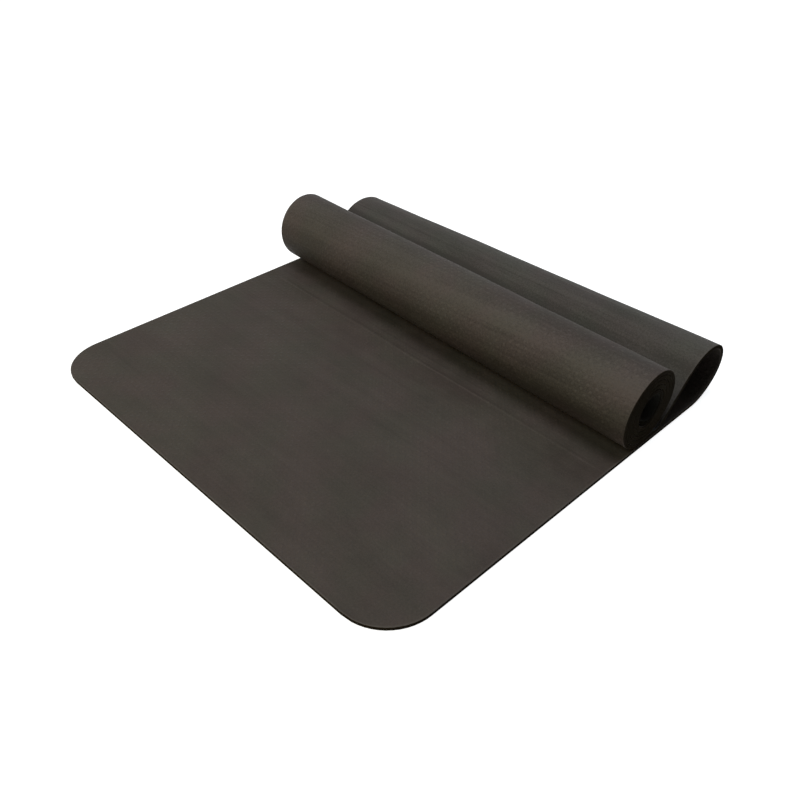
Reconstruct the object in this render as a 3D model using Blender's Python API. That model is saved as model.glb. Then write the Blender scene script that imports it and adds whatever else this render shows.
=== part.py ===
"""A yoga mat that lies partly flat, is folded back over itself and ends in a roll.

The mat is one soft sheet of two bonded foam plies. Seen from its right side it starts at the front edge,
runs back along the floor, curls up and over, comes down a slope onto its own top face, and winds up
into a roll that rests there. It is folded a little askew: its left end lies further back, and the fold is
lower there. X is the sheet's width, Y runs to the back and Z is up. The origin is the middle of the
bounding box, at floor level.

A soft sheet can only bend, so each ply is made in stretches that meet at bending lines. The back fold
opens about three lines on the sheet's outer face, and the front end lifts about three lines on its top face.
Two cuts don't bend: where the sheet leaves the floor, and at the foot of the slope.
"""

import math

import bmesh
import bpy
import numpy as np
from mathutils import Vector

# The sheet, in metres
sheet_length = 1.83
sheet_width = 0.61
sheet_thickness = 0.005
corner_radius = 0.058

# Clear spaces between the plies, between neighbouring stretches, and between the sheet and itself
ply_gap = 0.0003
bend_line_gap = 0.0003
rest_gap = 0.0003
winding_gap = 0.00045

# How the sheet lies: radii of the fold and of the heel are those of the sheet's underside
flat_length = 0.498
rise_radius = 0.055
back_radius = 0.033
top_radius = 0.050
heel_radius = 0.012
seat_run = 0.0285
hollow_radius = 0.014

rise_angle = math.radians(45)
back_angle = math.radians(105)
top_angle = math.radians(78)

# How far back the left end of the fold and the roll lies, by what share the fold stands higher than laid out,
# and by what share it is lower at its left end. Both come in over the rise and go over the slope
fold_skew = 0.025
lift_share = 0.055
sag_share = 0.28
starts_in_rise_share = 0.05
full_in_back_share = 0.10
wanes_in_slope_share = 0.14
ends_in_heel_share = 0.50

# Bending lines: the sheet has begun to rise before the fold's first one, and past the last one it keeps
# the end of its bend
fold_line_count = 3
first_line_heading = math.radians(40)
bend_past_last_line = math.radians(32)
front_leaf_length = 0.110
front_strip_length = 0.040
front_strip_count = 2

# Fineness of the faceted bends
arc_step = math.radians(7.5)
turn_steps = 48
corner_steps = 6
tangent_reach = 1e-6

# Colours of the two foams, as linear red, green and blue
top_colour = (0.064, 0.053, 0.047)
base_colour = (0.056, 0.048, 0.043)
foam_roughness = 0.82

half_thickness = sheet_thickness / 2
winding_pitch = sheet_thickness + winding_gap
overall_depth = flat_length + (rise_radius - back_radius) * math.sin(rise_angle) + back_radius + fold_skew
first_front_line = front_leaf_length + front_strip_length * front_strip_count
inner_end = sheet_length - fold_skew / 2


def smooth_step(low, high, value):
    share = min(max((value - low) / (high - low), 0.0), 1.0)
    return share * share * (3 - 2 * share)


def share_left(x):
    """0 at the sheet's right side and 1 at its left side."""
    return 0.5 - x / sheet_width


class Run:
    """A straight run of the sheet."""

    def __init__(self, place, length):
        self.y, self.z, self.heading = place
        self.length = length

    def at(self, travel):
        y = self.y + travel * math.cos(self.heading)
        z = self.z + travel * math.sin(self.heading)
        return y, z, self.heading

    def rows(self):
        return [self.length]


class Bend:
    """A round bend, given by the radius of the sheet's middle. A positive turn bends the sheet upward."""

    def __init__(self, place, radius, turn):
        self.y, self.z, self.heading = place
        self.radius = math.copysign(radius, turn)
        self.length = radius * abs(turn)
        self.steps = math.ceil(abs(turn) / arc_step)

    def at(self, travel):
        heading = self.heading + travel / self.radius
        y = self.y + self.radius * (math.sin(heading) - math.sin(self.heading))
        z = self.z - self.radius * (math.cos(heading) - math.cos(self.heading))
        return y, z, heading

    def rows(self):
        return [self.length * step / self.steps for step in range(1, self.steps + 1)]


class Winding:
    """The roll: a spiral that starts under its own middle and winds inward to the hollow."""

    def __init__(self, place, length):
        y, z, heading = place
        inner_radius = hollow_radius + half_thickness
        self.start_radius = math.sqrt(inner_radius**2 + winding_pitch * length / math.pi)
        self.y = y
        self.z = z + self.start_radius
        self.heading = heading
        self.length = length

    def angle(self, travel):
        root = math.sqrt(self.start_radius**2 - winding_pitch * travel / math.pi)
        return math.tau * (self.start_radius - root) / winding_pitch

    def travel(self, angle):
        return self.start_radius * angle - winding_pitch * angle**2 / (2 * math.tau)

    def at(self, travel):
        angle = self.angle(travel)
        radius = self.start_radius - winding_pitch * angle / math.tau
        return self.y - radius * math.sin(angle), self.z - radius * math.cos(angle), self.heading - angle

    def rows(self):
        step = math.tau / turn_steps
        count = math.floor(self.angle(self.length) / step)
        return [self.travel(step * row) for row in range(1, count + 1)] + [self.length]


class Route:
    """The line that the middle of the sheet follows, by distance from the front edge at its right side."""

    def __init__(self):
        self.pieces = []
        self.starts = []
        self.end = 0.0
        self.place = (-overall_depth / 2, half_thickness, 0.0)
        self.slope_end = None
        self.lift_comes = None
        self.lift_goes = None

    def add(self, piece):
        self.pieces.append(piece)
        self.starts.append(self.end)
        self.end += piece.length
        self.place = piece.at(piece.length)
        return piece

    def along(self, piece, share):
        """The distance at a share of the length of one of its pieces."""
        return self.starts[self.pieces.index(piece)] + share * piece.length

    def at(self, distance):
        index = max(i for i, start in enumerate(self.starts) if start <= distance or i == 0)
        return self.pieces[index].at(distance - self.starts[index])

    def middle(self, x, distance):
        """The middle of the sheet, with the skew of its left end and the fold's own height along it."""
        y, z, _ = self.at(distance)
        skewed = min(max((distance - first_front_line) / (flat_length - first_front_line), 0.0), 1.0)
        lifted = smooth_step(*self.lift_comes, distance) * (1 - smooth_step(*self.lift_goes, distance))
        return y + fold_skew * share_left(x) * skewed, z * (1 + (lift_share - sag_share * share_left(x)) * lifted)

    def point(self, x, distance, offset):
        """The point beside the middle of the sheet, offset towards its top face."""
        y, z = self.middle(x, distance)
        y_before, z_before = self.middle(x, distance - tangent_reach)
        y_after, z_after = self.middle(x, distance + tangent_reach)
        reach = math.hypot(y_after - y_before, z_after - z_before)
        return y - offset * (z_after - z_before) / reach, z + offset * (y_after - y_before) / reach

    def rows(self, first, last):
        """Distances of the rows of vertices between two cuts."""
        corner = [
            corner_radius * (1 - math.cos(math.pi / 2 * step / corner_steps))
            for step in range(1, corner_steps + 1)
        ]
        bends = [start + row for start, piece in zip(self.starts, self.pieces) for row in piece.rows()]
        inner = [row for row in sorted(corner + bends) if first + bend_line_gap < row < last - bend_line_gap]
        return [first] + inner + [last]


def lay_route():
    route = Route()
    route.add(Run(route.place, flat_length))
    rise = route.add(Bend(route.place, rise_radius - half_thickness, rise_angle))
    back = route.add(Bend(route.place, back_radius - half_thickness, back_angle))
    route.add(Bend(route.place, top_radius - half_thickness, top_angle))

    slope_angle = rise_angle + back_angle + top_angle - math.pi
    heel_middle = heel_radius + half_thickness
    landing = sheet_thickness + rest_gap + half_thickness
    drop = route.place[1] - landing - heel_middle * (1 - math.cos(slope_angle))
    slope = route.add(Run(route.place, drop / math.sin(slope_angle)))
    heel = route.add(Bend(route.place, heel_middle, -slope_angle))
    route.add(Run(route.place, seat_run))
    route.add(Winding(route.place, sheet_length - route.end))

    route.slope_end = route.along(slope, 1)
    route.lift_comes = route.along(rise, starts_in_rise_share), route.along(back, full_in_back_share)
    route.lift_goes = route.along(slope, wanes_in_slope_share), route.along(heel, ends_in_heel_share)
    return route


def fold_line_distances(route):
    """Distances of the fold's bending lines, evenly spread over the angle that the fold turns."""
    last_line_heading = rise_angle + back_angle + top_angle - bend_past_last_line
    lines = []
    for heading in np.linspace(first_line_heading, last_line_heading, fold_line_count):
        for start, piece in zip(route.starts, route.pieces):
            if isinstance(piece, Bend) and piece.radius > 0:
                travel = (heading - piece.heading) * piece.radius
                if 0 <= travel <= piece.length:
                    lines.append(start + travel)
                    break
    return lines


def half_width(distance):
    """Half the sheet's width at a distance, drawn in at the rounded corners of both ends."""
    from_end = max(0.0, min(distance, inner_end - distance))
    inset = max(0.0, corner_radius - from_end)
    return sheet_width / 2 - corner_radius + math.sqrt(corner_radius**2 - inset**2)


def foam(name, colour):
    material = bpy.data.materials.new(name)
    material.use_nodes = True
    shader = material.node_tree.nodes["Principled BSDF"]
    shader.inputs["Base Color"].default_value = (*colour, 1.0)
    shader.inputs["Roughness"].default_value = foam_roughness
    shader.inputs["Metallic"].default_value = 0.0
    return material


def ply_mesh(name, route, first, last, lower, upper, pivot):
    """A flat strip of one ply, cut across into rows and carried along the route.

    All its long faces are split along the same diagonal, so that the twisted ones stay a gap apart.
    """
    rows = route.rows(first, last)
    strip = bmesh.new()
    bmesh.ops.create_cube(strip, size=1.0)
    long_edges = [edge for edge in strip.edges if edge.verts[0].co.y * edge.verts[1].co.y < 0]
    if len(rows) > 2:
        bmesh.ops.subdivide_edges(strip, edges=long_edges, cuts=len(rows) - 2, use_grid_fill=True)

    def row_of(vert):
        return round((vert.co.y + 0.5) * (len(rows) - 1))

    for face in list(strip.faces):
        ends = {(vert.co.x > 0, row_of(vert)): vert for vert in face.verts}
        if len(ends) == 4:
            near = min(row for _, row in ends)
            bmesh.utils.face_split(face, ends[False, near], ends[True, near + 1])
    for vert in strip.verts:
        distance = rows[row_of(vert)]
        x = math.copysign(half_width(distance), vert.co.x)
        y, z = route.point(x, distance, upper if vert.co.z > 0 else lower)
        vert.co = Vector((x, y, z)) - pivot
    mesh = bpy.data.meshes.new(name)
    strip.to_mesh(mesh)
    strip.free()
    mesh.shade_smooth()
    mesh.set_sharp_from_angle(angle=2 * arc_step)
    return mesh


def add_stretch(name, route, first, last, pivot, parent, foams, collection):
    """The sheet's two plies between two cuts. They are children of the bending line that carries them."""
    if first > 0:
        first += bend_line_gap / 2
    if last < inner_end:
        last -= bend_line_gap / 2
    faces = {
        "top_ply": (ply_gap / 2, half_thickness),
        "base_ply": (-half_thickness, -ply_gap / 2),
    }
    for ply, (lower, upper) in faces.items():
        mesh = ply_mesh(f"{name}_{ply}", route, first, last, lower, upper, pivot)
        mesh.materials.append(foams[ply])
        stretch = bpy.data.objects.new(f"{name}_{ply}", mesh)
        stretch.parent = parent
        collection.objects.link(stretch)


def add_bending_line(name, point, parent, parent_point, collection):
    """An empty on a bending line. Everything past the line is its child."""
    line = bpy.data.objects.new(name, None)
    line.empty_display_size = front_strip_length
    line.parent = parent
    line.location = point - parent_point
    collection.objects.link(line)
    return line


def add_chain(cuts, bodies, side, route, foams, collection):
    """Bodies that hang on one another, each at a bending line and made of one or more stretches.

    The bending lines lie on the sheet's top face where side is 1, and on its underside where side is -1.
    """
    parent = None
    parent_point = Vector()
    for cut, stretches in zip(cuts, bodies):
        right, left = (
            Vector((x, *route.point(x, cut, side * half_thickness))) for x in (sheet_width / 2, -sheet_width / 2)
        )
        point = (right + left) / 2
        axis = (left - right).normalized()
        name = stretches[-1][0]
        line = add_bending_line(f"{name}_bending_line", point, parent, parent_point, collection)
        for stretch, first, last in stretches:
            add_stretch(stretch, route, first, last, point, line, foams, collection)
        print(f"{name} bends about y {point.y:.6f} z {point.z:.6f}, axis {axis.x:.6f} {axis.y:.6f} {axis.z:.6f}")
        parent = line
        parent_point = point


def least_winding_gap(route):
    """The least distance between the inner face of one turn and the outer face of the next one in."""
    rows = route.rows(route.starts[-2], inner_end)
    outer = np.array([route.point(sheet_width / 2, row, half_thickness) for row in rows])
    inner = np.array([route.point(sheet_width / 2, row, -half_thickness) for row in rows])
    along = inner[1:] - inner[:-1]
    least = math.inf
    for index in range(turn_steps, len(rows)):
        earlier = slice(0, index - turn_steps // 2)
        away = outer[index] - inner[:-1][earlier]
        share = (away * along[earlier]).sum(axis=1) / (along[earlier] ** 2).sum(axis=1)
        nearest = away - np.clip(share, 0, 1)[:, None] * along[earlier]
        least = min(least, np.linalg.norm(nearest, axis=1).min())
    return least


def main():
    for item in list(bpy.data.objects):
        bpy.data.objects.remove(item, do_unlink=True)
    mat = bpy.data.collections.new("yoga_mat")
    bpy.context.scene.collection.children.link(mat)

    route = lay_route()
    foams = {
        "top_ply": foam("top_foam", top_colour),
        "base_ply": foam("base_foam", base_colour),
    }

    fold_cuts = fold_line_distances(route)
    front_cuts = [first_front_line - front_strip_length * index for index in range(front_strip_count + 1)]

    add_stretch("flat", route, front_cuts[0], flat_length, Vector(), None, foams, mat)
    add_stretch("rise", route, flat_length, fold_cuts[0], Vector(), None, foams, mat)
    fold_strips = [
        [(f"fold_strip_{index}", first, last)]
        for index, (first, last) in enumerate(zip(fold_cuts, fold_cuts[1:]), start=1)
    ]
    rolled_end = [("slope", fold_cuts[-1], route.slope_end), ("rolled_end", route.slope_end, inner_end)]
    add_chain(fold_cuts, [*fold_strips, rolled_end], -1, route, foams, mat)
    front_strips = [
        [(f"front_strip_{index}", first, last)]
        for index, (last, first) in enumerate(zip(front_cuts, front_cuts[1:]), start=1)
    ]
    add_chain(front_cuts, [*front_strips, [("front_leaf", 0.0, front_cuts[-1])]], 1, route, foams, mat)

    winding = route.pieces[-1]
    wound = inner_end - route.starts[-1]
    print(f"the sheet is {inner_end + fold_skew / 2:.4f} m long in the middle and {wound:.4f} m of it is wound")
    print(f"the roll's outer radius starts at {winding.start_radius + half_thickness:.5f} m")
    print(f"the roll's middle is at y {winding.y:.5f} z {winding.z:.5f}")
    print(f"the least gap between two turns is {least_winding_gap(route):.6f} m")


main()
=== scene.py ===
"""Looks of the yoga mat: the foam sheet in detail, its materials, plain studio light and the camera.

The sheet is made from the same route as the CAD solids, in metres. A place on it is (x, s): x across its width,
s along it from the front edge. Each stretch replaces the solids of one body.
"""

import math

import bpy
import numpy as np
from mathutils import Matrix, Vector


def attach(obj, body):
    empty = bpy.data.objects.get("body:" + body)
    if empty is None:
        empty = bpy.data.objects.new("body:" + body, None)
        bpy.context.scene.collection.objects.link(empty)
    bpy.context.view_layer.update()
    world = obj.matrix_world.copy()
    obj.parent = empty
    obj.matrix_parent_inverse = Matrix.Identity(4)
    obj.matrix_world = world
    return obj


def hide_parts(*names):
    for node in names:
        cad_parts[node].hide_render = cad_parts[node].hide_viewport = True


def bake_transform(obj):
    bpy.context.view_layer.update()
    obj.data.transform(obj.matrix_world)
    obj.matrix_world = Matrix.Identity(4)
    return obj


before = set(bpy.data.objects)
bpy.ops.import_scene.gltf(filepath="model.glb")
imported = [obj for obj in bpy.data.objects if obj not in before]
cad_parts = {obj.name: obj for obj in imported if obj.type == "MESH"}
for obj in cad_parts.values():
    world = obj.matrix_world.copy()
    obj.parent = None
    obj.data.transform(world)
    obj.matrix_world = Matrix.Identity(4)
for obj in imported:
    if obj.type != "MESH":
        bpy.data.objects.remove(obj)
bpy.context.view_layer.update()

scene = bpy.context.scene

# The sheet and how it lies, as in the CAD source
sheet_length = 1.83
sheet_width = 0.61
sheet_thickness = 0.005
corner_radius = 0.058
rest_gap = 0.0003
winding_gap = 0.00045
flat_length = 0.498
rise_radius = 0.055
back_radius = 0.033
top_radius = 0.050
heel_radius = 0.012
seat_run = 0.0285
hollow_radius = 0.014
rise_angle = math.radians(45)
back_angle = math.radians(105)
top_angle = math.radians(78)

# How far back the left end of the fold and the roll lies, by what share the fold stands higher than laid out,
# and by what shares the fold and the roll are lower at their left end
fold_skew = 0.025
lift_share = 0.055
sag_share = 0.28
roll_sag_share = 0.033

half_thickness = sheet_thickness / 2
landing = sheet_thickness + rest_gap + half_thickness  # height of the middle of a turn that lies on the flat part
winding_pitch = sheet_thickness + winding_gap
overall_depth = flat_length + (rise_radius - back_radius) * math.sin(rise_angle) + back_radius + fold_skew

# Edges of the two plies
rim_radius = 0.0009
ply_line_gap = 0.00012
ply_line_radius = 0.0003
ply_line_depth = half_thickness - ply_line_gap / 2


def smooth(low, high, value):
    t = np.clip((value - low) / (high - low), 0, 1)
    return t * t * (3 - 2 * t)


class Run:
    """A straight length of the route from a place: y, z and heading."""

    def __init__(self, place, length):
        self.y, self.z, self.heading = place
        self.length = length

    def at(self, t):
        return (
            self.y + t * math.cos(self.heading),
            self.z + t * math.sin(self.heading),
        )

    def end_heading(self):
        return self.heading


class Bend:
    """An arc of the route. A turn above 0 goes upwards."""

    def __init__(self, place, radius, turn):
        self.y, self.z, self.heading = place
        self.radius = math.copysign(radius, turn)
        self.length = radius * abs(turn)

    def at(self, t):
        heading = self.heading + t / self.radius
        return (
            self.y + self.radius * (np.sin(heading) - math.sin(self.heading)),
            self.z - self.radius * (np.cos(heading) - math.cos(self.heading)),
        )

    def end_heading(self):
        return self.heading + self.length / self.radius


class Winding:
    """The roll: a spiral that ends at the hollow and loses one pitch of radius with every turn."""

    def __init__(self, place, length):
        y, z, self.heading = place
        inner = hollow_radius + half_thickness
        self.length = length
        self.start_radius = math.sqrt(inner**2 + winding_pitch * length / math.pi)
        self.y, self.z = y, z + self.start_radius

    def angle(self, t):
        inside = self.start_radius**2 - winding_pitch * t / math.pi
        return math.tau * (self.start_radius - np.sqrt(inside)) / winding_pitch

    def travel(self, angle):
        return self.start_radius * angle - winding_pitch * angle**2 / (2 * math.tau)

    def at(self, t):
        angle = self.angle(t)
        radius = self.start_radius - winding_pitch * angle / math.tau
        return self.y - radius * np.sin(angle), self.z - radius * np.cos(angle)


def lay_route():
    """The sheet's middle line as pieces: flat, rise, back, top, slope, heel, seat and winding."""
    pieces = [Run((-overall_depth / 2, half_thickness, 0.0), flat_length)]

    def add(kind, *facts):
        last = pieces[-1]
        y, z = last.at(last.length)
        pieces.append(kind((float(y), float(z), last.end_heading()), *facts))

    add(Bend, rise_radius - half_thickness, rise_angle)
    add(Bend, back_radius - half_thickness, back_angle)
    add(Bend, top_radius - half_thickness, top_angle)
    slope = rise_angle + back_angle + top_angle - math.pi
    heel_middle = heel_radius + half_thickness
    last = pieces[-1]
    z = float(last.at(last.length)[1])
    add(Run, (z - landing - heel_middle * (1 - math.cos(slope))) / math.sin(slope))
    add(Bend, heel_middle, -slope)
    add(Run, seat_run)
    add(Winding, sheet_length - sum(piece.length for piece in pieces))
    return pieces


route = lay_route()
route_starts = np.cumsum([0.0] + [piece.length for piece in route[:-1]])
_, rise_start, back_start, _, slope_start, heel_start, seat_start, winding_start = route_starts
winding = route[-1]

# Where the lift of the fold comes and goes
lift_starts = rise_start + 0.05 * route[1].length
lift_is_full = back_start + 0.10 * route[2].length
lift_wanes = slope_start + 0.14 * route[4].length
lift_ends = heel_start + 0.50 * route[5].length

# Rows between which the skew grows and fades. Rows are distances along the sheet before it is skewed
skew_grows = (0.20, 0.42)
skew_fades = (1.35, 1.70)


def on_route(s):
    """y and z of the sheet's middle at distances s, straight across."""
    s = np.asarray(s, float)
    y, z = np.zeros_like(s), np.zeros_like(s)
    which = np.clip(np.searchsorted(route_starts, s, side="right") - 1, 0, len(route) - 1)
    for k, piece in enumerate(route):
        here = which == k
        if here.any():
            y[here], z[here] = piece.at(s[here] - route_starts[k])
    return y, z


def share_left(x):
    return 0.5 - x / sheet_width


def middle(x, s):
    """The sheet's middle, with the skew and the low left end of the fold and the roll."""
    left = share_left(x)
    lag = fold_skew * left
    y, z = on_route(s - lag)
    lifted = smooth(lift_starts, lift_is_full, s - lag) * (1 - smooth(lift_wanes, lift_ends, s - lag))
    z = z * (1 + (lift_share - sag_share * left) * lifted)
    pressed = smooth(seat_start, winding_start, s - lag) * roll_sag_share * left
    return np.stack([x, y + lag, z - pressed * (z - landing)], -1)


def unit(v):
    return v / np.linalg.norm(v, axis=-1, keepdims=True)


def directions(x, s, e=1e-5):
    """Across the sheet, along it, and out of its top face."""
    across = unit(middle(x + e, s) - middle(x - e, s))
    along = unit(middle(x, s + e) - middle(x, s - e))
    return across, along, unit(np.cross(across, along))


def lift(x, s, depth):
    """The point above the sheet's middle at (x, s)."""
    return middle(x, s) + np.asarray(depth)[..., None] * directions(x, s)[2]


def skew_share(q):
    """How much of the skew a row at q has: none at the front edge and at the inner end of the roll."""
    return smooth(*skew_grows, q) * (1 - smooth(*skew_fades, q))


def row_distance(q, x):
    """Distance along the sheet of row q at x."""
    return q + fold_skew * share_left(x) * skew_share(q)


def half_width(s, inset=0.0):
    """Half the sheet's width at s, less where its corners are round."""
    from_end = np.clip(np.minimum(s, sheet_length - s), 0, corner_radius)
    reach = corner_radius - from_end
    return sheet_width / 2 - corner_radius + np.sqrt(np.maximum((corner_radius - inset) ** 2 - reach**2, 0))


def row_at_turn(degrees):
    """The row where the winding has turned by an angle."""
    return winding_start + winding.travel(math.radians(degrees))


# Broad bands and thin creases across the sheet: row, from x, to x, height, half the breadth.
# Their height also paints the foam darker or lighter there: painted shade in the thin creases, painted highlight on
# the thin ridges. The broad bands have little height and are painted light: painted shadow on the flat in front of
# the roll, painted shade on the roll's lower front and along the back of its top, and a painted highlight across its
# front
top_creases_and_painted_bands = (
    (0.324, -0.40, 0.40, -0.00012, 0.034),
    (0.357, -0.40, 0.40, -0.00012, 0.014),
    (row_at_turn(66), -0.40, 0.40, -0.00016, 0.0130),
    (row_at_turn(228), -0.40, 0.40, -0.00014, 0.0050),
    (row_at_turn(212), -0.40, 0.40, -0.00026, 0.0220),
    (row_at_turn(138), -0.40, 0.40, 0.00028, 0.0210),
    (0.3225, -0.275, 0.292, 0.00020, 0.0010),
    (0.3262, -0.262, 0.285, -0.00016, 0.0012),
    (0.3370, -0.290, 0.120, -0.00012, 0.0018),
    (0.9150, -0.300, 0.250, 0.00022, 0.0010),
    (0.9290, -0.280, 0.300, -0.00018, 0.0010),
    (0.9440, -0.300, 0.300, 0.00020, 0.0011),
)
# On the base face: painted shade on the slope where it meets the roll (row 0.655), a lighter band (row 0.686) and
# thin ridges
base_creases_and_painted_bands = (
    (0.686, -0.40, 0.40, 0.00026, 0.014),
    (0.655, -0.40, 0.40, -0.00034, 0.006),
    (0.5830, -0.300, 0.280, 0.00018, 0.0011),
    (0.6130, -0.290, 0.300, 0.00020, 0.0010),
    (0.6370, -0.300, 0.240, -0.00016, 0.0010),
    (0.6900, -0.280, 0.300, 0.00018, 0.0010),
)


def row_of(x, s):
    """The row that a place lies on, near enough for creases."""
    return s - fold_skew * share_left(x) * skew_share(s)


crease_paint_height = 0.0003  # the height that counts as 1 in the crease attribute
crease_end = 0.012  # half the distance over which a crease ends

# Soft unevenness: height, waves across and along the sheet in radians per metre, and phase
waves = (
    (0.00013, 21, 15, 0.6),
    (0.00011, 13, -31, 2.1),
    (0.00009, 37, 43, 4.0),
    (0.00006, 71, -53, 1.3),
)

# Rows between which the unevenness of a face that shows comes or goes, and how far from an edge it is full
flat_relief_goes = (0.49, 0.55)
roll_relief_comes = (0.790, 0.815)
roll_relief_goes = (1.02, 1.05)
fold_relief_comes = (0.52, 0.56)
fold_relief_goes = (0.70, 0.73)
edge_of_relief = 0.006


def crease_and_band_height(x, s, side):
    """Height of the creases and broad bands across the sheet, which also sets their painted shade and highlight."""
    q = row_of(x, s)
    height = np.zeros_like(q)
    for row, start, end, tall, broad in top_creases_and_painted_bands if side > 0 else base_creases_and_painted_bands:
        wander = 0.0006 * np.sin(9 * x + 40 * row) + 0.0003 * np.sin(31 * x + 90 * row)
        strength = 0.75 + 0.25 * np.sin(17 * x + 60 * row)
        ends = smooth(start - crease_end, start + crease_end, x)
        ends = ends * (1 - smooth(end - crease_end, end + crease_end, x))
        height += tall * strength * ends * np.exp(-(((q - row - wander) / broad) ** 2))
    return height


def relief(x, s, side):
    """Creases and soft unevenness of a face, outwards, fading before its edges."""
    q = row_of(x, s)
    height = sum(tall * np.sin(across * x + along * s + phase) for tall, across, along, phase in waves)
    height += crease_and_band_height(x, s, side)
    edge = smooth(0.0, edge_of_relief, np.minimum(half_width(s) - np.abs(x), s))
    if side > 0:  # the face that shows on the flat part and on the outer turn of the roll
        free = 1 - smooth(*flat_relief_goes, q)
        free = free + smooth(*roll_relief_comes, q) * (1 - smooth(*roll_relief_goes, q))
    else:  # the face that shows on the fold and on its slope
        free = smooth(*fold_relief_comes, q) * (1 - smooth(*fold_relief_goes, q))
    return height * edge * free


def face_depth(x, s, side):
    return side * (half_thickness + relief(x, s, side))


def face_normal(x, s, side, e=2e-4):
    across = lift(x + e, s, face_depth(x + e, s, side)) - lift(x - e, s, face_depth(x - e, s, side))
    along = lift(x, s + e, face_depth(x, s + e, side)) - lift(x, s - e, face_depth(x, s - e, side))
    return side * unit(np.cross(across, along))


# Columns, as shares of the half width: fine towards both edges. Hidden turns have every few of them
half_width_mm = sheet_width * 500
edge_steps_mm = [0, 2, 4.5, 8, 13, 19, 26, 34, 43, 53]
from_edge = np.concatenate([edge_steps_mm, np.linspace(edge_steps_mm[-1], half_width_mm, 25)[1:]]) / half_width_mm
columns = np.concatenate([from_edge - 1, (1 - from_edge[:-1])[::-1]])
last_column = len(columns) - 1
every_column = list(range(len(columns)))
few_columns = [0, 3, 9, *range(15, last_column - 11, 6), last_column - 9, last_column - 3, last_column]
few_columns_after = row_at_turn(372)
lighter_edges_until = row_at_turn(345)  # the edges of the inner turns keep their cut colour

# Stretches: name, first row, last row, rows where the bend starts and ends, the two bodies
stretches = (
    ("front_leaf", 0.0, 0.130, 0.128, 0.092, "front_strip_2", "front_leaf"),
    ("front_strip_2", 0.130, 0.170, 0.168, 0.132, "front_strip_1", "front_strip_2"),
    ("front_strip_1", 0.170, 0.230, 0.208, 0.172, "flat", "front_strip_1"),
    ("flat", 0.230, 0.492, None, None, "flat", None),
    ("rise", 0.492, 0.5564, 0.500, 0.5564, "flat", "fold_strip_1"),
    ("fold_strip_1", 0.5564, 0.6057, 0.5564, 0.6057, "fold_strip_1", "fold_strip_2"),
    ("fold_strip_2", 0.6057, 0.6700, 0.6057, 0.6700, "fold_strip_2", "rolled_end"),
    ("rolled_end", 0.6700, sheet_length, None, None, "rolled_end", None),
)

# Rows of points, closer where the sheet bends more: from, to, step
row_steps = (
    (corner_radius, flat_length, 0.007),
    (flat_length, slope_start, 0.0022),
    (slope_start, heel_start, 0.004),
    (heel_start, seat_start, 0.0012),
    (seat_start, winding_start, 0.005),
)
winding_step = math.radians(5)
crease_steps = np.arange(-4, 5) * 0.0006
least_step = 0.0003
end_clearance = 0.0004


def all_rows():
    theta = np.linspace(0, math.pi / 2, 15)
    corner = corner_radius - (corner_radius - rim_radius) * np.cos(theta)
    rows = [corner, sheet_length - corner]
    rows += [np.arange(*span) for span in row_steps]
    turned = float(winding.angle(sheet_length - corner_radius - winding_start))
    rows.append(winding_start + winding.travel(np.arange(0, turned, winding_step)))
    rows += [crease_painted_light[0] + crease_steps for crease_painted_light in top_creases_and_painted_bands + base_creases_and_painted_bands]
    return np.unique(np.concatenate(rows))


every_row = all_rows()


def rows_of(first, last):
    """The rows of one stretch, with its first and last row exactly at its ends."""
    low, high = max(first, rim_radius), min(last, sheet_length - rim_radius)
    inside = every_row[(every_row > low + end_clearance) & (every_row < high - end_clearance)]
    kept = [low]
    for q in inside:
        if q - kept[-1] > least_step:
            kept.append(q)
    return np.array(kept + [high])


def outward(x, s):
    """Out of the sheet's outline, in the sheet's own plane, for points of its border."""
    end = np.where(s < sheet_length / 2, -1.0, 1.0)
    from_end = np.minimum(s, sheet_length - s)
    nx = np.where(from_end < corner_radius, np.abs(x) - (sheet_width / 2 - corner_radius), 1.0)
    ns = np.where(from_end < corner_radius, corner_radius - from_end, 0.0)
    nx = np.maximum(nx, 0)
    size = np.hypot(nx, ns)
    return np.sign(x) * nx / size, end * ns / size


# Cross-section of a ply's edge: outwards, in from the face, tilt of the surface from the face
rim = [(rim_radius * math.sin(a), rim_radius * (1 - math.cos(a)), a) for a in np.radians((30, 60, 90))]
rounding = 0.3 * ply_line_radius
edge_profile = rim + [
    (rim_radius, ply_line_depth - ply_line_radius, math.pi / 2),
    (rim_radius - rounding, ply_line_depth - rounding, math.radians(135)),
    (rim_radius - ply_line_radius, ply_line_depth, math.pi),
]

# How far round an edge the face's colour reaches, as a tilt, on the flat part and from the slope on
face_tilt = 1.2
face_tilt_of_slope = 0.7

# How much lighter an edge is where it meets its face, and how much less from the slope on
edge_lightening_at_face = 0.4
edge_lightening_lost = 0.9
edge_lightening_goes = (0.640, 0.700)


def edge_lightening(s):
    """Edges on the floor are lighter than those of the slope and the roll."""
    return 1 - edge_lightening_lost * smooth(*edge_lightening_goes, s)


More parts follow.
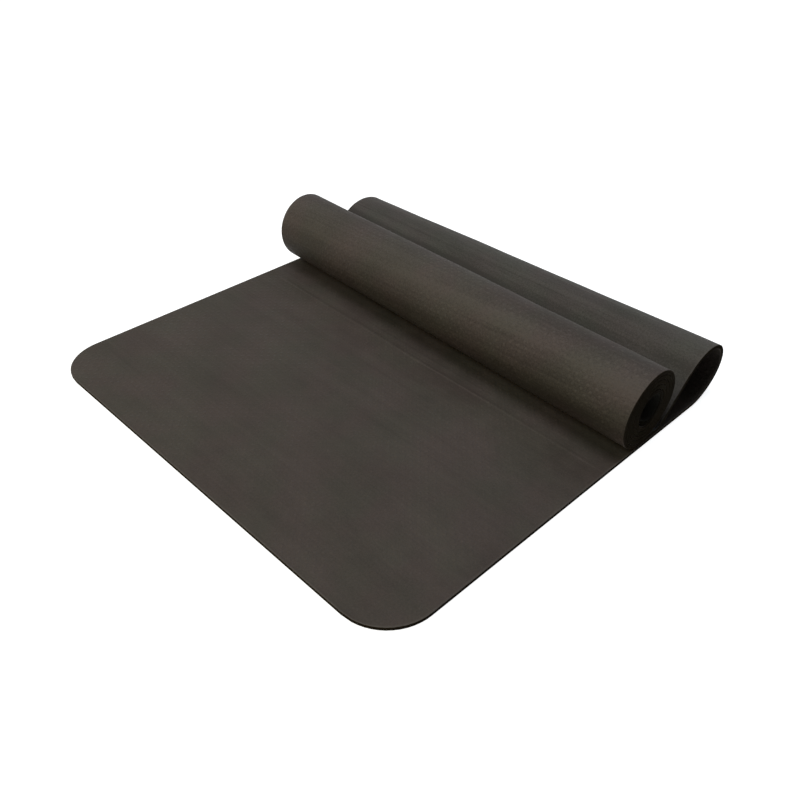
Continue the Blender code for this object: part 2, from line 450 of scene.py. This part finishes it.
def closed_mesh(name, places, normals, quads, quad_material, polygons, polygon_normals, attributes):
    """A mesh with every face turned outwards and with the normals of the surface it stands for."""
    corners = places[quads]
    facing = np.cross(corners[:, 2] - corners[:, 0], corners[:, 3] - corners[:, 1])
    wrong = (facing * normals[quads].mean(1)).sum(1) < 0
    quads[wrong] = quads[wrong][:, ::-1]
    faces, loop_normals, materials = quads.tolist(), [normals[quads].reshape(-1, 3)], list(quad_material)
    for ring, normal in zip(polygons, polygon_normals):
        p = places[ring]
        turn = np.cross(p, np.roll(p, -1, 0)).sum(0)
        if turn @ normal < 0:
            ring = ring[::-1]
        faces.append([int(v) for v in ring])
        loop_normals.append(np.tile(unit(normal), (len(ring), 1)))
        materials.append(1)

    mesh = bpy.data.meshes.new(name)
    mesh.from_pydata(places.tolist(), [], faces)
    mesh.polygons.foreach_set("material_index", np.array(materials, np.int32))
    mesh.polygons.foreach_set("use_smooth", np.ones(len(faces), bool))
    for title, kind, field, values in attributes:
        made = mesh.attributes.new(title, kind, "POINT")
        made.data.foreach_set(field, np.concatenate(values).astype(np.float32).ravel())
    mesh.update()
    mesh.normals_split_custom_set(np.concatenate(loop_normals).tolist())
    return mesh


def ply_mesh(name, first, last, side):
    """One ply of a stretch as a closed mesh: outer face, rounded edge, inner face and the cuts at its ends."""
    rows = rows_of(first, last)
    picks = [few_columns if q > few_columns_after else every_column for q in rows]
    grid, xs, ss = [], [], []
    for q, pick in zip(rows, picks):
        x = columns[pick] * half_width(q, rim_radius)
        grid.append(np.arange(len(pick)) + sum(len(p) for p in grid))
        xs.append(x)
        ss.append(row_distance(q, x))
    x, s = np.concatenate(xs), np.concatenate(ss)
    places = [lift(x, s, face_depth(x, s, side))]
    normals = [face_normal(x, s, side)]
    flats = [np.stack([x, s, np.full_like(x, side * half_thickness)], -1)]
    lighter_edge = [np.zeros(len(x))]
    crease_painted_lights = [crease_and_band_height(x, s, side) / crease_paint_height]

    at_front, at_back = first <= 0, last >= sheet_length
    rights, lefts = [g[-1] for g in grid], [g[0] for g in grid]
    if at_front:
        borders = [lefts[:0:-1] + list(grid[0]) + rights[1:]]
    elif at_back:
        borders = [rights[:-1] + list(grid[-1][::-1]) + lefts[-2::-1]]
    else:
        borders = [rights, lefts]

    # Outer face
    quads, quad_material, polygons, polygon_normals = [], [], [], []
    for j in range(len(rows) - 1):
        a, b = grid[j], grid[j + 1]
        if len(a) == len(b):
            quads.append(np.stack([a[:-1], a[1:], b[1:], b[:-1]], -1))
            quad_material.append(np.zeros(len(a) - 1, int))
        else:  # the first row of the hidden turns
            for k in range(len(few_columns) - 1):
                ring = list(a[few_columns[k] : few_columns[k + 1] + 1]) + [b[k + 1], b[k]]
                polygons.append(ring)
                polygon_normals.append(normals[0][ring].mean(0))

    # Rounded edges, one ring of points after another
    count = len(x)
    last_ring = {}
    for border in borders:
        border = np.array(border)
        bx, bs = x[border], s[border]
        nx, ns = outward(bx, bs)
        lighter_edge[0][border] = np.where(bs < lighter_edges_until, edge_lightening_at_face, 0.0) * edge_lightening(bs)
        before = border
        for out, depth, tilt in edge_profile:
            ex, es = bx + nx * out, bs + ns * out
            across, along, up = directions(ex, es)
            places.append(lift(ex, es, side * np.full(len(ex), half_thickness - depth)))
            away = unit(nx[:, None] * across + ns[:, None] * along)
            normals.append(math.cos(tilt) * side * up + math.sin(tilt) * away)
            flats.append(np.stack([ex, es, np.full_like(ex, side * (half_thickness - depth))], -1))
            lighter_edge.append(np.where((es < lighter_edges_until) & (tilt < face_tilt), 1.0, 0.0) * edge_lightening(es))
            crease_painted_lights.append(np.zeros(len(ex)))
            ring = count + np.arange(len(border))
            count += len(border)
            quads.append(np.stack([before[:-1], before[1:], ring[1:], ring[:-1]], -1))
            face_until = np.where(bs[1:] < slope_start, face_tilt, face_tilt_of_slope)
            quad_material.append(np.where((bs[1:] < lighter_edges_until) & (tilt < face_until), 0, 1))
            before = ring
        last_ring.update(zip(border.tolist(), before.tolist()))
    places, normals = np.concatenate(places), np.concatenate(normals)

    # Inner face, in strips from edge to edge
    for j in range(len(rows) - 1):
        if at_front and j == 0:
            ring = [last_ring[v] for v in grid[0].tolist()] + [last_ring[rights[1]], last_ring[lefts[1]]]
        elif at_back and j == len(rows) - 2:
            ring = [last_ring[v] for v in grid[-1].tolist()] + [last_ring[rights[-2]], last_ring[lefts[-2]]]
        else:
            quads.append(np.array([[last_ring[v] for v in (lefts[j], rights[j], rights[j + 1], lefts[j + 1])]]))
            quad_material.append(np.ones(1, int))
            continue
        polygons.append(ring)
        polygon_normals.append(normals[ring].mean(0))

    # The cuts where a stretch meets the next one
    step = len(edge_profile)
    for j, shut in ((0, not at_front), (len(rows) - 1, not at_back)):
        if not shut:
            continue
        ends = []
        for v in (rights[j], lefts[j]):
            ring, w = [], last_ring[int(v)]
            border = next(b for b in borders if v in b)
            for k in range(step):
                ring.append(w - (step - 1 - k) * len(border))
            ends.append(ring)
        ring = grid[j].tolist() + ends[0] + ends[1][::-1]
        away = directions(np.zeros(1), np.array([rows[j]]))[1][0]
        polygons.append(ring)
        polygon_normals.append(away if j else -away)

    return closed_mesh(
        name,
        places,
        normals,
        np.concatenate(quads),
        np.concatenate(quad_material),
        polygons,
        polygon_normals,
        (
            ("flat_place", "FLOAT_VECTOR", "vector", flats),
            ("lighter_edge", "FLOAT", "value", lighter_edge),
            ("crease_painted_light", "FLOAT", "value", crease_painted_lights),
        ),
    )


# Materials


def add_node(tree, kind, settings=None, **inputs):
    made = tree.nodes.new(kind)
    for key, value in (settings or {}).items():
        setattr(made, key, value)
    for key, value in inputs.items():
        socket = made.inputs[int(key[1:])] if key[1:].isdigit() else made.inputs[key.replace("_", " ")]
        if isinstance(value, bpy.types.NodeSocket):
            tree.links.new(value, socket)
        else:
            socket.default_value = value
    return made


def math_node(tree, operation, a, b=0.0, c=0.0):
    return add_node(tree, "ShaderNodeMath", {"operation": operation}, i0=a, i1=b, i2=c).outputs[0]


def centred(tree, value, reach):
    """A noise of 0 to 1 spread from -reach to reach."""
    return math_node(tree, "MULTIPLY_ADD", value, 2 * reach, -reach)


def added(tree, first, *others):
    total = first
    for value in others:
        total = math_node(tree, "ADD", total, value)
    return total


def ramp(tree, value, low, high, to_low=0.0, to_high=1.0, kind="SMOOTHSTEP"):
    return add_node(
        tree,
        "ShaderNodeMapRange",
        {"interpolation_type": kind},
        Value=value,
        From_Min=low,
        From_Max=high,
        To_Min=to_low,
        To_Max=to_high,
    ).outputs[0]


def noise(tree, place, scale, stretch=(1, 1, 1), detail=2.0, roughness=0.5):
    scaled = add_node(tree, "ShaderNodeMapping", Vector=place, Scale=tuple(scale * k for k in stretch))
    made = add_node(
        tree, "ShaderNodeTexNoise", Vector=scaled.outputs[0], Scale=1.0, Detail=detail, Roughness=roughness
    )
    return made.outputs[0]


def mix(tree, share, first, second, blend="MIX"):
    """The second colour mixed into the first."""
    settings = {"data_type": "RGBA", "blend_type": blend}
    return add_node(tree, "ShaderNodeMix", settings, i0=share, i6=first, i7=second).outputs[2]


def attribute(tree, name, output="Fac"):
    return add_node(tree, "ShaderNodeAttribute", {"attribute_name": name}).outputs[output]


dots_per_metre = 120


def embossed_dots(tree, place):
    """1 in the middle of each dot of a grid that lies at 45 degrees to the sheet's edges."""
    grid = add_node(
        tree,
        "ShaderNodeMapping",
        Vector=place,
        Rotation=(0, 0, math.radians(45)),
        Scale=(dots_per_metre, dots_per_metre, 0),
    ).outputs[0]
    cell = add_node(tree, "ShaderNodeVectorMath", {"operation": "FRACTION"}, i0=grid).outputs[0]
    cell = add_node(tree, "ShaderNodeVectorMath", {"operation": "SUBTRACT"}, i0=cell, i1=(0.5, 0.5, 0.0)).outputs[0]
    reach = add_node(tree, "ShaderNodeVectorMath", {"operation": "LENGTH"}, i0=cell).outputs["Value"]
    return ramp(tree, reach, 0.12, 0.28, 1.0, 0.0)


def foam(
    name, dark, light, grain, roughness=0.66, specular=0.10, dots=0.0, streaks=0.0, streak_tone=0.0, lighter_edge_colour=None
):
    """Closed-cell foam. Grain, dots and streaks are heights in metres, and streak_tone is how much streaks show."""
    material = bpy.data.materials.new(name)
    material.use_nodes = True
    tree = material.node_tree
    tree.nodes.clear()
    place = attribute(tree, "flat_place", "Vector")
    column, row = add_node(tree, "ShaderNodeSeparateXYZ", Vector=place).outputs[:2]
    clouds = noise(tree, place, 9, stretch=(1, 1.3, 1), detail=3.0, roughness=0.55)
    patches = noise(tree, place, 42, roughness=0.6)
    cells = noise(tree, place, 900, roughness=0.7)
    specks = noise(tree, place, 420, detail=1.0)
    lines = noise(tree, place, 260, stretch=(0.02, 1, 1), roughness=0.6)
    bands = noise(tree, place, 70, stretch=(0.04, 1, 1), detail=1.0)
    hues = noise(tree, place, 15)

    # Tone: 0 is the dark colour and 1 the light one
    fine_tone = added(
        tree,
        centred(tree, cells, 0.85),
        centred(tree, specks, 0.55),
        centred(tree, lines, streak_tone),
        centred(tree, bands, streak_tone),
    )
    stretched = ramp(tree, row, 0.45, 0.70, 0.36, 1.0)  # fine tones show less on the flat part
    tone = added(
        tree,
        math_node(tree, "MULTIPLY_ADD", clouds, 0.9, -0.05),
        centred(tree, patches, 0.25),
        math_node(tree, "MULTIPLY", fine_tone, stretched),
        # Painted shade and painted highlight from the crease attribute: darker in creases and the broad dark bands,
        # lighter on ridges and the broad light band
        math_node(tree, "MULTIPLY", attribute(tree, "crease_painted_light"), 0.55),
    )
    height = added(
        tree,
        math_node(tree, "MULTIPLY", cells, grain),
        math_node(tree, "MULTIPLY", specks, grain * 1.2),
        math_node(tree, "MULTIPLY", lines, streaks),
    )
    if dots:
        pressed = ramp(tree, clouds, 0.40, 0.62, 0.35, 1.0)
        dot = math_node(tree, "MULTIPLY", embossed_dots(tree, place), pressed)
        height = added(tree, height, math_node(tree, "MULTIPLY", dot, dots))
        # Painted glints: dots are lighter where light catches them, most on the roll and towards its right end
        painted_dot_glints = math_node(tree, "MULTIPLY", dot, ramp(tree, row, 0.45, 0.80, 0.08, 0.42))
        painted_dot_glints = math_node(tree, "MULTIPLY", painted_dot_glints, ramp(tree, column, -0.15, 0.15, 0.35, 1.2))
        tone = added(tree, tone, painted_dot_glints)

    colour = mix(tree, tone, (*dark, 1.0), (*light, 1.0))
    cooler = ramp(tree, hues, 0.35, 0.65)
    colour = mix(tree, cooler, colour, (0.93, 1.02, 0.96, 1.0), "MULTIPLY")
    # Painted shade: the innermost turns darken to nearly black inside the roll's hollow
    painted_hollow_shade = ramp(tree, row, 1.66, 1.74, 1.0, 0.45)  # the innermost turn is nearly black
    colour = mix(tree, 1.0, colour, painted_hollow_shade, "MULTIPLY")
    # Edges are lighter where they meet the face, in patches, most on the flat part
    if lighter_edge_colour:
        lighter_edge_share = math_node(tree, "MULTIPLY", attribute(tree, "lighter_edge"), ramp(tree, patches, 0.30, 0.60, 0.55, 1.0))
        colour = mix(tree, lighter_edge_share, colour, (*lighter_edge_colour, 1.0))
    shader = add_node(
        tree,
        "ShaderNodeBsdfPrincipled",
        Base_Color=colour,
        Roughness=ramp(tree, patches, 0.3, 0.7, roughness - 0.06, roughness + 0.06, "LINEAR"),
        Specular_IOR_Level=specular,
        Normal=add_node(tree, "ShaderNodeBump", Strength=1.0, Distance=1.0, Height=height).outputs[0],
    )
    output = add_node(tree, "ShaderNodeOutputMaterial")
    tree.links.new(shader.outputs[0], output.inputs[0])
    return material


top_foam = foam(
    "top_foam_face",
    dark=(0.040, 0.032, 0.027),
    light=(0.080, 0.065, 0.056),
    grain=0.00010,
    dots=0.00028,
    streaks=0.00003,
    streak_tone=0.36,
    lighter_edge_colour=(0.090, 0.080, 0.069),
)
base_foam = foam(
    "base_foam_face",
    dark=(0.040, 0.0345, 0.0297),
    light=(0.080, 0.070, 0.0615),
    grain=0.00009,
    streaks=0.00005,
    streak_tone=0.42,
    lighter_edge_colour=(0.085, 0.076, 0.066),
)
# The cut edges are about a third as bright as the faces: partly the cut foam's own colour, partly painted shade for
# the ends of the sheet and the roll
cut_foam = foam(
    "cut_foam_edge",
    dark=(0.0155, 0.0115, 0.007),
    light=(0.028, 0.021, 0.0135),
    grain=0.00008,
    roughness=0.90,
    specular=0.02,
)


# The sheet's stretches

bend_clearance = 0.0004
bend_samples = np.linspace(-0.5, 0.5, 9) * sheet_width


def bend_ends(first, last):
    """Where a bend between two rows starts and ends, so that both rows lie outside it all the way across."""
    count = len(bend_samples)
    x = np.tile(bend_samples, 2)
    depth = np.repeat((-half_thickness, half_thickness), count)
    rows = [lift(x, row_distance(np.full_like(x, q), x), depth) for q in (first, last)]
    ruling = unit(rows[0][count - 1] - rows[0][0] + rows[1][count - 1] - rows[1][0])
    chord = rows[1].mean(0) - rows[0].mean(0)
    chord = unit(chord - (chord @ ruling) * ruling)
    start, end = (rows[0] @ chord).max() + bend_clearance, (rows[1] @ chord).min() - bend_clearance
    foot = rows[0].mean(0)
    foot = foot - (foot @ chord) * chord
    return tuple(foot + start * chord), tuple(foot + end * chord)


for name, first, last, bend_start, bend_end, body, next_body in stretches:
    for ply, side, face in (("top", 1, top_foam), ("base", -1, base_foam)):
        node_name = f"{name}_{ply}_ply"
        piece = bpy.data.objects.new(f"sheet_{node_name}", ply_mesh(f"sheet_{node_name}", first, last, side))
        scene.collection.objects.link(piece)
        piece.data.materials.append(face)
        piece.data.materials.append(cut_foam)
        if next_body:
            start, end = bend_ends(bend_start, bend_end)
            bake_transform(piece)
        else:
            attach(piece, body)
        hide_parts(node_name)
        if name == "rolled_end":
            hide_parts(f"slope_{ply}_ply")

# Floor: white to the camera, with the mat's own shadow

floor_reach = 5
floor_level = -0.0002
floor_colour = (0.50, 0.50, 0.49, 1.0)
floor_corners = [
    (x * floor_reach, y * floor_reach, floor_level) for x, y in ((-1, -1), (1, -1), (1, 1), (-1, 1))
]
floor_mesh = bpy.data.meshes.new("floor")
floor_mesh.from_pydata(floor_corners, [], [(0, 1, 2, 3)])
floor = bpy.data.objects.new("floor", floor_mesh)
scene.collection.objects.link(floor)


def seen_plainly(tree):
    """1 for what the camera sees directly, in gloss or through glass."""
    path = add_node(tree, "ShaderNodeLightPath")
    seen = math_node(tree, "MAXIMUM", path.outputs["Is Camera Ray"], path.outputs["Is Glossy Ray"])
    return math_node(tree, "MAXIMUM", seen, path.outputs["Is Transmission Ray"])


floor_material = bpy.data.materials.new("pale_floor")
floor_material.use_nodes = True
tree = floor_material.node_tree
tree.nodes.clear()
diffuse = add_node(tree, "ShaderNodeBsdfDiffuse", Color=floor_colour)
floor_place = add_node(tree, "ShaderNodeNewGeometry").outputs["Position"]
from_middle = add_node(tree, "ShaderNodeVectorMath", {"operation": "LENGTH"}, i0=floor_place).outputs["Value"]
# The glow leaves room for the lamps' light near the mat and is full white further out
glow_strength = math_node(tree, "MULTIPLY", seen_plainly(tree), ramp(tree, from_middle, 0.6, 1.5, 0.90, 1.0))
glow = add_node(tree, "ShaderNodeEmission", Color=(1.0, 1.0, 1.0, 1.0), Strength=glow_strength)
both = add_node(tree, "ShaderNodeAddShader")
tree.links.new(diffuse.outputs[0], both.inputs[0])
tree.links.new(glow.outputs[0], both.inputs[1])
tree.links.new(both.outputs[0], add_node(tree, "ShaderNodeOutputMaterial").inputs[0])
floor_mesh.materials.append(floor_material)

# Light: soft lamps, cooler from above and behind and warmer from low in front, and a little from all round

fill_strength = 0.02
lamp_distance = 2.3
lamp_size = 1.2

world = bpy.data.worlds.new("studio")
scene.world = world
world.use_nodes = True
tree = world.node_tree
tree.nodes.clear()
strength = math_node(tree, "MULTIPLY_ADD", seen_plainly(tree), 1.0 - fill_strength, fill_strength)
background = add_node(tree, "ShaderNodeBackground", Color=(1.0, 1.0, 1.0, 1.0), Strength=strength)
tree.links.new(background.outputs[0], add_node(tree, "ShaderNodeOutputWorld").inputs[0])


def area_lamp(name, azimuth, elevation, power, colour):
    """A soft round lamp that looks at the middle of the mat. Azimuth 0 is the right side and 90 is the back."""
    azimuth, elevation = math.radians(azimuth), math.radians(elevation)
    away = Vector(
        (
            math.cos(elevation) * math.cos(azimuth),
            math.cos(elevation) * math.sin(azimuth),
            math.sin(elevation),
        )
    )
    data = bpy.data.lights.new(name, "AREA")
    data.shape = "DISK"
    data.size = lamp_size
    data.energy = power
    data.color = colour
    lamp = bpy.data.objects.new(name, data)
    lamp.location = away * lamp_distance
    lamp.rotation_euler = away.to_track_quat("Z", "Y").to_euler()
    scene.collection.objects.link(lamp)


area_lamp("above", 0, 90, 28.6, (0.90, 0.90, 0.99))
area_lamp("high_front", -98, 50, 19.6, (0.93, 1.0, 0.92))
area_lamp("low_front", -100, 32, 6.6, (1.0, 0.60, 0.06))
area_lamp("behind", 90, 45, 4.5, (0.35, 0.60, 1.0))

scene.view_settings.view_transform = "Standard"

# Camera at the photograph's viewing angle. Its numbers were fitted to the mat's straight edges

camera_place = Vector((0.5895, -0.2579 - overall_depth / 2, 0.5579))
camera_yaw = math.radians(45.78)
camera_pitch = math.radians(43.57)
focal_pixels = 771.38
image_side = 800
image_middle = (400.8, 491.4)

camera_data = bpy.data.cameras.new("camera")
camera_data.sensor_width = 36.0
camera_data.lens = focal_pixels * camera_data.sensor_width / image_side
camera_data.shift_x = (image_side / 2 - image_middle[0]) / image_side
camera_data.shift_y = (image_middle[1] - image_side / 2) / image_side
camera_data.clip_start = 0.01
camera = bpy.data.objects.new("camera", camera_data)
scene.collection.objects.link(camera)
backwards = Vector(
    (
        math.sin(camera_yaw) * math.cos(camera_pitch),
        -math.cos(camera_yaw) * math.cos(camera_pitch),
        math.sin(camera_pitch),
    )
)
rightwards = Vector((math.cos(camera_yaw), math.sin(camera_yaw), 0.0))
upwards = backwards.cross(rightwards)
camera_matrix = Matrix((rightwards, upwards, backwards)).transposed().to_4x4()
camera_matrix.translation = camera_place
camera.matrix_world = camera_matrix
scene.camera = camera
